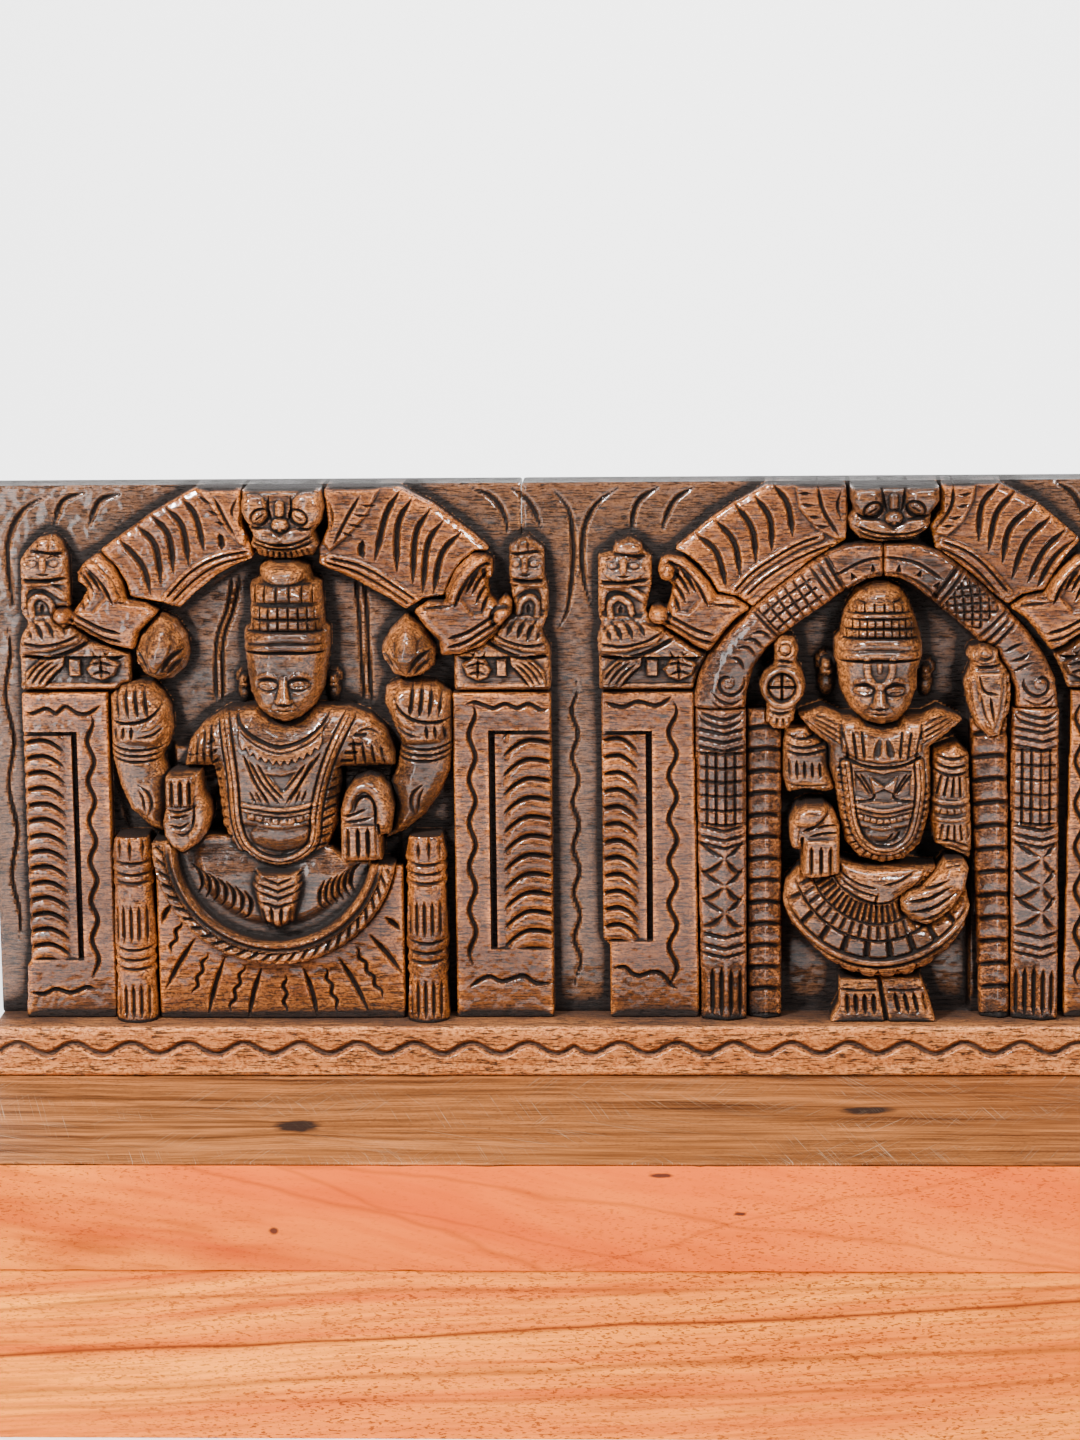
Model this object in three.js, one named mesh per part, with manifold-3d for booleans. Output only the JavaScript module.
// A carved wooden headrest: a two-niche relief panel standing on a shelf-topped plinth.
// Millimetres, +X to the right, -Y to the front, +Z up.
import * as THREE from 'three';
import { mergeVertices } from 'three/addons/utils/BufferGeometryUtils.js';
import Module from 'manifold-3d';

const wasm = await Module();
wasm.setup();

// Driving dimensions. Outlines are drawn in the panel's own plane: x from its middle,
// z up from the shelf. A depth is how far a piece stands out from the ground boards' face.
const panelLength = 600;
const panelHeight = 304;
const groundThickness = 22;
const ledgeHeight = 26.5;
const ledgeDepth = 30;
const plinthHeight = 140;
const shelfOverhang = 149;
const shelfThickness = 20;
const upperRailHeight = 54;
const lowerRailRecess = 1.5;
const boardThickness = 18;
const battenWidth = 40;
const battenThickness = 18;
const battenHeight = 284;
const battenOffset = 242;
const backRailHeight = 80;
const cleatSize = 26;
const cleatLength = 150;
const seamX = -25;
const gap = 0.3;

const halfLength = panelLength / 2;
const frontEdge = ledgeDepth + shelfOverhang;
const backEdge = -groundThickness - battenThickness;
const middleDepth = (frontEdge + backEdge) / 2;
const carvedFoot = ledgeHeight + gap;

// How far each family of carved pieces stands out, and how much its edges are eased.
const depths = { wing: 14, jamb: 12, corbel: 15, beast: 20, mask: 22, post: 20, beads: 15, arch: 20,
  plinth: 16, lap: 26, torso: 25, head: 30, arm: 20, bud: 24, palm: 28, feet: 22, emblem: 22 };
const easing = { sharp: 0, soft: 2, round: 4 };

const finishes = {
  carving: new THREE.MeshStandardMaterial({ color: 0x6b3a1d, roughness: 0.32, metalness: 0 }),
  ground: new THREE.MeshStandardMaterial({ color: 0x5a3b2a, roughness: 0.45, metalness: 0 }),
  shelf: new THREE.MeshStandardMaterial({ color: 0x8a5a35, roughness: 0.55, metalness: 0 }),
  rail: new THREE.MeshStandardMaterial({ color: 0xe0a074, roughness: 0.6, metalness: 0 }),
  frame: new THREE.MeshStandardMaterial({ color: 0xa87a50, roughness: 0.75, metalness: 0 }),
};

// ---- solids -------------------------------------------------------------------------

function toSolid(geometry) {
  const bare = geometry.clone();
  bare.deleteAttribute('normal');
  bare.deleteAttribute('uv');
  const welded = mergeVertices(bare, 1e-4);
  return new wasm.Manifold(new wasm.Mesh({
    numProp: 3,
    vertProperties: new Float32Array(welded.attributes.position.array),
    triVerts: new Uint32Array(welded.index.array),
  }));
}

function toGeometry(solid) {
  const mesh = solid.getMesh();
  const geometry = new THREE.BufferGeometry();
  geometry.setAttribute('position', new THREE.BufferAttribute(new Float32Array(mesh.vertProperties), 3));
  geometry.setIndex(new THREE.BufferAttribute(new Uint32Array(mesh.triVerts), 1));
  return geometry;
}

// The biggest single body of a cut solid, so that no loose chip is left beside it.
function largest(solid) {
  const bodies = solid.decompose();
  return bodies.reduce((best, body) => (body.volume() > best.volume() ? body : best));
}

// An outline in the panel's plane, raised from one depth to another. The sketch plane's
// own z axis becomes the way out of the panel, which is -Y.
function raise(outline, from, to, ease = 0) {
  const shape = new THREE.Shape(outline.map(([x, z]) => new THREE.Vector2(x, z)));
  const geometry = new THREE.ExtrudeGeometry(shape, {
    depth: to - from - 2 * ease,
    bevelEnabled: ease > 0,
    bevelSize: ease,
    bevelThickness: ease,
    bevelOffset: -ease,
    bevelSegments: 1,
    curveSegments: 1,
  });
  geometry.translate(0, 0, from + ease);
  geometry.rotateX(Math.PI / 2);
  return geometry;
}

// The same piece grown by the gap on every side: what its neighbours are cut with.
function grown(outline, from, to) {
  const shape = new THREE.Shape(outline.map(([x, z]) => new THREE.Vector2(x, z)));
  const geometry = new THREE.ExtrudeGeometry(shape, {
    depth: to - from,
    bevelEnabled: true,
    bevelSize: gap * 1.4,
    bevelThickness: gap,
    bevelSegments: 1,
    curveSegments: 1,
  });
  geometry.translate(0, 0, from);
  geometry.rotateX(Math.PI / 2);
  return geometry;
}

function rectangle(x0, z0, x1, z1) {
  return [[x0, z0], [x1, z0], [x1, z1], [x0, z1]];
}

function mirrored(outline, middle) {
  return outline.map(([x, z]) => [2 * middle - x, z]).reverse();
}

function arc(x, z, radius, fromDegrees, toDegrees, count) {
  const points = [];
  for (let i = 0; i <= count; i += 1) {
    const angle = THREE.MathUtils.degToRad(fromDegrees + (toDegrees - fromDegrees) * i / count);
    points.push([x + radius * Math.cos(angle), z + radius * Math.sin(angle)]);
  }
  return points;
}

// ---- outlines of the carved pieces --------------------------------------------------

const jambA = [[-285.5, carvedFoot], [-238.3, carvedFoot], [-238.3, 199], [-282, 199], [-282, 57], [-284, 55]];
const jambB = rectangle(-60.7, carvedFoot, -11, 198);
const jambC = [[19, carvedFoot], [64.5, carvedFoot], [62, 198], [15.5, 198], [15.5, 68], [18.5, 66]];
const jambD = [[251.5, carvedFoot], [297, carvedFoot], [297.5, 66], [299.7, 68], [299.7, 198], [254, 198]];

const corbelA = [[-282, 200.3], [-226, 200.3], [-226, 219], [-246, 226], [-254, 233], [-256, 240],
  [-256, 268], [-259, 277], [-263, 281], [-270, 279.5], [-277, 273], [-280, 268], [-280.5, 240],
  [-277, 236], [-281, 228], [-282, 222]];
const corbelB = [[-60, 199.3], [-11, 199.3], [-11, 222], [-15, 230], [-12, 238], [-11, 250], [-13, 258],
  [-13, 272], [-22, 279.5], [-31, 274], [-31, 258], [-29, 246], [-29, 239], [-38, 236], [-40, 226],
  [-50, 221], [-60, 219]];
const corbelC = [[14.5, 199.3], [61.5, 199.3], [64.5, 208], [69, 216.5], [60, 221.5], [51, 228], [45, 232.5],
  [41, 236], [38, 240], [41.5, 256], [41.5, 268], [37, 271], [36, 275], [30, 278], [23, 275],
  [21.5, 270.5], [14.5, 269], [14.5, 237], [16, 234], [13.5, 226], [14, 219.5]];
const corbelD = mirrored(corbelC, 156.75);

const beastA = [[-264.5, 238], [-263, 235], [-259, 233], [-254, 235], [-246, 230], [-235, 224.5],
  [-222.5, 221.5], [-221, 230], [-216, 235], [-210, 241], [-217, 245.5], [-226.5, 247.5],
  [-228.5, 256], [-233, 265], [-240, 271.5], [-247, 267], [-251.5, 261], [-251, 256], [-246, 253],
  [-250, 246], [-254.5, 240], [-258, 243.2], [-262.5, 242.5]];
const beastB = [[-66, 218], [-56, 219], [-45, 223], [-37, 230], [-33, 237], [-29.5, 240], [-29.5, 246],
  [-33, 249], [-37, 245], [-41, 249], [-42, 256], [-39, 260], [-39.5, 267], [-44, 270.5],
  [-50, 270], [-58, 262], [-63, 252], [-63.5, 246.5], [-72, 246], [-79.5, 241], [-74, 233], [-67, 226]];
const beastC = [[39.5, 238], [42, 234], [47, 233], [52, 230], [62, 223], [70, 219.5], [72, 222],
  [78, 230], [83, 236], [91, 241.5], [83, 247], [74, 248.5], [70, 255], [64, 262], [57, 268],
  [50, 269.5], [46, 267], [44.5, 262], [46, 257], [52, 254], [51, 247], [49, 241], [45, 243.5], [41, 242.5]];
const beastD = mirrored(beastC, 156.5);

const wingA = [[-239, 273], [-231, 265], [-226, 256], [-224, 249], [-208, 246], [-199, 243.5],
  [-190, 252], [-180, 260], [-170, 265.5], [-161, 269], [-162, 274], [-166.5, 285], [-167, panelHeight],
  [-190, panelHeight], [-196, 301], [-212, 292], [-229, 280]];
const wingB = [[-127.5, 265.5], [-120, 262], [-110, 257.5], [-100, 252], [-90, 246.5], [-84, 242],
  [-75, 247.5], [-64, 249], [-62, 256], [-56, 266], [-48, 272], [-40, 271.5], [-50, 280.5],
  [-70, 296], [-86, panelHeight], [-124, panelHeight], [-122, 285], [-127, 274]];
const wingC = [[53, 272], [58, 270], [65, 264.5], [71, 257], [75, 250], [84, 248], [92.5, 242.5],
  [100, 249.5], [110, 257], [120, 265], [130, 271.5], [139, 276], [140.5, 290], [139, panelHeight],
  [99, panelHeight], [93, 300.5], [83, 295], [72, 287.5], [62, 279.5]];
const wingD = [[187.5, panelHeight], [187, 291], [182, 283], [184, 272.5], [193, 266.5], [203, 258.5],
  [213, 249.5], [221, 243], [228, 248], [239.5, 250.5], [244, 259], [250, 268], [257, 275.5],
  [248, 283.5], [235, 294.5], [217, panelHeight]];

const maskA = [[-165, panelHeight], [-166, 294], [-163, 287], [-160, 281], [-161.5, 276], [-158, 270],
  [-150, 268.3], [-140, 268.3], [-130, 270.5], [-127, 276], [-130, 282], [-126, 287], [-124, 295],
  [-126, panelHeight]];
const maskB = [[141, panelHeight], [141, 298], [143, 292], [140, 288], [141, 283], [146, 277.5],
  [155, 275.3], [168, 275.8], [176, 278.5], [181, 284], [182, 291], [186, 297], [185.5, panelHeight]];

const postLeft = [[66, carvedFoot], [89, carvedFoot], [88.5, 189.7], [63, 189.7]];
const postRight = [[225, carvedFoot], [248.5, carvedFoot], [247.3, 189.7], [223.5, 189.7]];
const beadsLeft = [[90, carvedFoot], [106.5, carvedFoot], [107, 189], [89.5, 189]];
const beadsRight = [[209, carvedFoot], [224, carvedFoot], [221.3, 186], [203, 186]];
const archLeft = [[88.5, 190], [89.5, 200], [93, 212], [100, 222], [110, 230], [118, 236], [128, 242.5],
  [135, 248], [142, 252.5], [150, 257], [157.8, 258.5], [157.8, 274.8], [150, 275], [140, 274.3],
  [130, 270.5], [120, 263.5], [110, 256], [100, 248], [92.5, 241.5], [86, 235], [78, 227], [70, 217.5],
  [65, 208], [63, 198], [62.8, 190]];
const archRight = [[158.2, 258.5], [166, 257.5], [173, 254], [180, 248], [187, 241.5], [195, 235], [205, 226],
  [214, 217], [221, 209], [225, 200], [225.5, 190], [247, 190], [245, 205], [240, 216], [232, 228],
  [222, 239], [214, 247], [206, 254.5], [196, 263], [186, 270.5], [176, 274.3], [167, 275], [158.2, 274.8]];

// The seated figure in the left niche.
const bowl = { x: -153, z: 121, radius: 63 };
const seatedHead = [[-146, 183.5], [-138, 186], [-131, 192], [-126.5, 201], [-125, 212], [-123.5, 221],
  [-123.5, 232], [-125.5, 234], [-127, 256], [-131.5, 258], [-133, 264], [-141, 267.7], [-152, 267.7],
  [-158, 264], [-158.5, 258], [-163, 256], [-163.5, 234], [-167, 232], [-166.5, 221], [-165.5, 212],
  [-164, 200], [-160, 191], [-154, 186]];
const seatedTorso = [[-199, 161], [-184, 161], [-182, 150], [-180, 130], [-174, 116], [-164, 108.5],
  [-150, 105], [-136, 108.5], [-126, 118], [-121, 130], [-119, 150], [-118.5, 160], [-91, 161],
  [-91, 168], [-95, 179], [-103, 187], [-113, 191], [-130, 192], [-160, 192], [-176, 191], [-188, 184], [-196, 174]];
const seatedArmLeft = [[-237, 197], [-236.5, 165], [-233, 150], [-228, 138], [-218, 128], [-208, 125],
  [-203, 128], [-205, 145], [-208, 157], [-211, 165], [-207, 172], [-205, 180], [-206, 192],
  [-210, 199], [-215, 204], [-222, 205], [-230, 203]];
const seatedArmRight = [[-98, 121], [-86, 126], [-76, 134], [-68, 145], [-63, 157], [-61.3, 170], [-61.5, 198],
  [-70, 204], [-84, 206], [-92, 203], [-95, 201], [-96, 193], [-92, 184], [-87.5, 172], [-90, 160], [-98, 140]];
const seatedBudLeft = [[-209, 240], [-214, 236], [-220, 229], [-223, 221], [-222.5, 214], [-218, 208],
  [-211, 205], [-204, 206], [-198, 211], [-195.5, 219], [-197, 228], [-202, 236]];
const seatedBudRight = [[-84, 238.5], [-92, 231], [-97, 222], [-96, 215], [-91, 208], [-84, 205.5],
  [-76, 207], [-70, 212], [-69, 221], [-75, 231]];
const seatedPalmLeft = [[-208, 157], [-208, 141], [-210, 133], [-209, 126], [-205, 120], [-200, 117],
  [-192, 122], [-187, 128], [-185, 136], [-186, 143], [-189, 148], [-190, 160], [-205, 159]];
const seatedPalmRight = [[-118, 113.5], [-97.5, 113], [-97, 127], [-93, 127], [-91, 140], [-93, 150],
  [-98, 156], [-104, 158], [-111, 155], [-116, 148], [-118, 140]];
const seatedLap = arc(bowl.x, bowl.z, bowl.radius, 178, 350, 26).concat([[-118, 113], [-130, 125], [-180, 125]]);
const fanPlinth = [[-215, carvedFoot], [-88, carvedFoot], [-88, 108], [-215, 116]];

// The standing figure in the right niche.
const standingHead = [[158, 181], [166, 183], [172, 190], [175.5, 200], [176, 210], [178, 216], [178.5, 222],
  [177, 228], [174, 238], [171, 245], [167, 251], [160, 254.8], [152, 254.5], [145, 251], [141, 245],
  [138, 238], [136.5, 228], [134, 226], [133.5, 216], [135, 212], [136.5, 200], [141, 190], [149, 183]];
const standingTorso = [[115, 187], [122, 178], [131, 171], [131, 160], [134, 150], [136.5, 135], [139, 121],
  [146, 113], [158, 109.5], [170, 112], [178, 120], [182, 135], [183, 150], [182, 170], [190, 176],
  [199, 184], [186, 190], [178, 186], [138, 186], [127, 191]];
const standingArmLeft = [[109, 180], [107.5, 170], [107.5, 155], [110, 146], [119, 148], [130, 146], [134, 148],
  [131, 160], [131, 171], [120, 181]];
const standingArmRight = [[184, 168], [183, 150], [183, 130], [185, 119], [199, 113], [203, 110], [204, 120],
  [203, 140], [202, 165], [195, 172]];
const standingPalmLeft = [[112, 119], [117, 118], [117, 105], [122, 103.5], [130, 104.5], [136, 106],
  [136, 131], [133, 138], [128, 141.5], [120, 142], [114, 139], [111, 133], [110.5, 126]];
const standingHandRight = [[167, 92], [168, 86], [173, 81], [181, 78.5], [188, 82], [194, 88], [200, 97],
  [202, 108], [199, 113], [190, 112], [185, 105], [178, 98], [172, 96]];
const standingSkirt = [[109, 100], [107.5, 90], [112, 78], [120, 69], [130, 60], [140, 54], [150, 51],
  [160, 50.5], [172, 52], [182, 57], [192, 65], [200, 76], [203, 88], [201, 96], [185, 108], [167, 109],
  [150, 108], [136, 112], [117, 108]];
const standingFeet = [[131.5, carvedFoot], [186, carvedFoot], [182, 40], [178, 50], [136, 49], [136, 36]];
const wheelEmblem = [[99.5, 193], [99, 184], [103, 180], [109, 180], [113, 184], [114, 192], [118, 197],
  [119, 203], [117, 210], [114, 214.5], [115.5, 221], [112.5, 227], [107, 228], [103, 223], [103.5, 218],
  [103, 212.8], [98, 209], [95.5, 203], [96.5, 198]];
const shellEmblem = [[203, 213], [199, 203], [201, 192], [205, 182], [212, 175], [217.5, 176], [219.5, 184],
  [222, 187], [223, 197], [222, 208], [217, 215], [216, 220], [209, 223.5], [202, 221], [200, 217]];

// Name, outline, depth and easing, the pieces that stand in front first: each one is cut
// clear of those before it.
const carvedPieces = [
  ['seated_palm_left', seatedPalmLeft, depths.palm, easing.soft],
  ['seated_palm_right', seatedPalmRight, depths.palm, easing.soft],
  ['standing_palm_left', standingPalmLeft, depths.palm, easing.soft],
  ['standing_hand_right', standingHandRight, depths.palm, easing.soft],
  ['seated_head', seatedHead, depths.head, easing.round],
  ['standing_head', standingHead, depths.head, easing.round],
  ['seated_bud_left', seatedBudLeft, depths.bud, easing.round],
  ['seated_bud_right', seatedBudRight, depths.bud, easing.round],
  ['wheel_emblem', wheelEmblem, depths.emblem, easing.soft],
  ['shell_emblem', shellEmblem, depths.emblem, easing.soft],
  ['seated_torso', seatedTorso, depths.torso, easing.round],
  ['standing_torso', standingTorso, depths.torso, easing.round],
  ['seated_arm_left', seatedArmLeft, depths.arm, easing.soft],
  ['seated_arm_right', seatedArmRight, depths.arm, easing.soft],
  ['standing_arm_left', standingArmLeft, depths.arm, easing.soft],
  ['standing_arm_right', standingArmRight, depths.arm, easing.soft],
  ['seated_lap', seatedLap, depths.lap, easing.soft],
  ['standing_skirt', standingSkirt, depths.lap, easing.soft],
  ['standing_feet', standingFeet, depths.feet, easing.soft],
  ['lion_mask_left', maskA, depths.mask, easing.round],
  ['lion_mask_right', maskB, depths.mask, easing.round],
  ['arch_half_left', archLeft, depths.arch, easing.soft],
  ['arch_half_right', archRight, depths.arch, easing.soft],
  ['banded_post_left', postLeft, depths.post, easing.soft],
  ['banded_post_right', postRight, depths.post, easing.soft],
  ['beaded_post_left', beadsLeft, depths.beads, easing.soft],
  ['beaded_post_right', beadsRight, depths.beads, easing.soft],
  ['scroll_beast_a', beastA, depths.beast, easing.soft],
  ['scroll_beast_b', beastB, depths.beast, easing.soft],
  ['scroll_beast_c', beastC, depths.beast, easing.soft],
  ['scroll_beast_d', beastD, depths.beast, easing.soft],
  ['corbel_a', corbelA, depths.corbel, easing.soft],
  ['corbel_b', corbelB, depths.corbel, easing.soft],
  ['corbel_c', corbelC, depths.corbel, easing.soft],
  ['corbel_d', corbelD, depths.corbel, easing.soft],
  ['fan_wing_a', wingA, depths.wing, easing.sharp],
  ['fan_wing_b', wingB, depths.wing, easing.sharp],
  ['fan_wing_c', wingC, depths.wing, easing.sharp],
  ['fan_wing_d', wingD, depths.wing, easing.sharp],
  ['jamb_a', jambA, depths.jamb, easing.sharp],
  ['jamb_b', jambB, depths.jamb, easing.sharp],
  ['jamb_c', jambC, depths.jamb, easing.sharp],
  ['jamb_d', jambD, depths.jamb, easing.sharp],
  ['fan_plinth', fanPlinth, depths.plinth, easing.sharp],
];

// The sunk field of each jamb that holds its row of carved crescents.
const sunkDepth = 4;
const sunkFields = {
  jamb_a: rectangle(-290, 57.5, -256, 178.5),
  jamb_b: rectangle(-43, 63, 0, 178.5),
  jamb_c: rectangle(0, 68, 41, 178),
  jamb_d: rectangle(275, 68, 310, 178),
};

// ---- the assembly -------------------------------------------------------------------

const headrest = new THREE.Group();
headrest.name = 'carved_headrest';
headrest.position.set(0, middleDepth, plinthHeight);
const panel = new THREE.Group();
const plinth = new THREE.Group();
headrest.add(panel, plinth);

function addPiece(parent, name, geometry, finish) {
  const mesh = new THREE.Mesh(geometry.index ? geometry : mergeVertices(geometry), finish.clone());
  mesh.name = name;
  parent.add(mesh);
  return mesh;
}

// A pillar turned between centres: a fluted shaft with two groups of rings.
const pillarRadius = 11;
const pillarHeight = 98;
const pillarRings = [27, 33, 39, 74, 80, 86];
function turnedPillar(x) {
  const profile = [new THREE.Vector2(0, 0), new THREE.Vector2(pillarRadius, 0)];
  for (const height of pillarRings) {
    profile.push(new THREE.Vector2(pillarRadius - 1.4, height - 2));
    profile.push(new THREE.Vector2(pillarRadius, height));
  }
  profile.push(new THREE.Vector2(pillarRadius - 1.4, pillarHeight - 6));
  profile.push(new THREE.Vector2(pillarRadius - 2.5, pillarHeight));
  profile.push(new THREE.Vector2(0, pillarHeight));
  const geometry = new THREE.LatheGeometry(profile, 14);
  geometry.rotateX(Math.PI / 2);
  geometry.translate(x, -pillarRadius - 1, carvedFoot);
  return geometry;
}
const pillars = [['pillar_left', turnedPillar(-227)], ['pillar_right', turnedPillar(-75.5)]];

function overlaps(a, b) {
  return a.min.every((low, k) => low < b.max[k]) && b.min.every((low, k) => low < a.max[k]);
}

const placed = [];
for (const [name, outline, depth, ease] of carvedPieces) {
  let solid = toSolid(raise(outline, gap, depth, ease));
  if (sunkFields[name]) {
    solid = solid.subtract(toSolid(raise(sunkFields[name], depth - sunkDepth, depth + 1)));
  }
  for (const cutter of placed) {
    if (overlaps(solid.boundingBox(), cutter.boundingBox())) {
      solid = solid.subtract(cutter);
    }
  }
  addPiece(panel, name, toGeometry(largest(solid)), finishes.carving);
  placed.push(toSolid(grown(outline, gap, depth)));
}
for (const [name, geometry] of pillars) {
  let solid = toSolid(geometry);
  for (const cutter of placed) {
    if (overlaps(solid.boundingBox(), cutter.boundingBox())) {
      solid = solid.subtract(cutter);
    }
  }
  addPiece(panel, name, toGeometry(largest(solid)), finishes.carving);
}

const ground = [
  ['ground_board_left', rectangle(-halfLength, carvedFoot, seamX - gap / 2, panelHeight)],
  ['ground_board_right', rectangle(seamX + gap / 2, carvedFoot, halfLength, panelHeight)],
];
for (const [name, outline] of ground) {
  addPiece(panel, name, raise(outline, -groundThickness, 0, 0), finishes.ground);
}
addPiece(panel, 'base_ledge', raise(rectangle(-halfLength, gap, halfLength, ledgeHeight),
  -groundThickness, ledgeDepth, 1), finishes.carving);

for (const [name, side] of [['back_batten_left', -1], ['back_batten_right', 1]]) {
  const x = side * battenOffset;
  addPiece(panel, name, raise(rectangle(x - battenWidth / 2, gap, x + battenWidth / 2, battenHeight),
    backEdge, -groundThickness - gap, 1), finishes.frame);
}

// A board that runs the whole length, from its section: pairs of depth and height.
function longBoard(section, x0, x1) {
  const shape = new THREE.Shape(section.map(([depth, z]) => new THREE.Vector2(depth, z)));
  const geometry = new THREE.ExtrudeGeometry(shape, { depth: x1 - x0, bevelEnabled: false });
  geometry.applyMatrix4(new THREE.Matrix4().set(0, 0, -1, x1, -1, 0, 0, 0, 0, 1, 0, 0, 0, 0, 0, 1));
  return geometry;
}

const mitreGap = gap * Math.SQRT2;
const railBack = frontEdge - shelfThickness;
const lowerFront = frontEdge - lowerRailRecess;
const lowerBack = lowerFront - shelfThickness;
addPiece(plinth, 'shelf_board', longBoard([[backEdge, 0], [backEdge, -shelfThickness],
  [railBack, -shelfThickness], [frontEdge, 0]], -halfLength, halfLength), finishes.shelf);
addPiece(plinth, 'upper_rail', longBoard([[frontEdge, -mitreGap], [railBack, -shelfThickness - mitreGap],
  [railBack, -upperRailHeight], [frontEdge, -upperRailHeight]], -halfLength, halfLength), finishes.rail);
addPiece(plinth, 'lower_rail', longBoard([[lowerFront, -upperRailHeight - gap], [lowerBack, -upperRailHeight - gap],
  [lowerBack, -plinthHeight], [lowerFront, -plinthHeight]], -halfLength, halfLength), finishes.rail);

const underShelf = -shelfThickness - gap;
const innerX = halfLength - boardThickness;
for (const [side, sign] of [['left', -1], ['right', 1]]) {
  const outer = Math.min(sign * halfLength, sign * innerX);
  const section = [[backEdge, underShelf], [backEdge, -plinthHeight], [lowerBack - gap, -plinthHeight],
    [lowerBack - gap, underShelf]];
  addPiece(plinth, `end_panel_${side}`, longBoard(section, outer, outer + boardThickness), finishes.rail);

  const cleatX = sign > 0 ? innerX - gap - cleatSize : -innerX + gap;
  const cleat = [[0, underShelf], [0, underShelf - cleatSize], [cleatLength, underShelf - cleatSize],
    [cleatLength, underShelf]];
  addPiece(plinth, `shelf_cleat_${side}`, longBoard(cleat, cleatX, cleatX + cleatSize), finishes.frame);
}
addPiece(plinth, 'back_rail', longBoard([[backEdge, underShelf], [backEdge, underShelf - backRailHeight],
  [backEdge + boardThickness, underShelf - backRailHeight], [backEdge + boardThickness, underShelf]],
  -innerX + gap, innerX - gap), finishes.frame);

export default headrest;
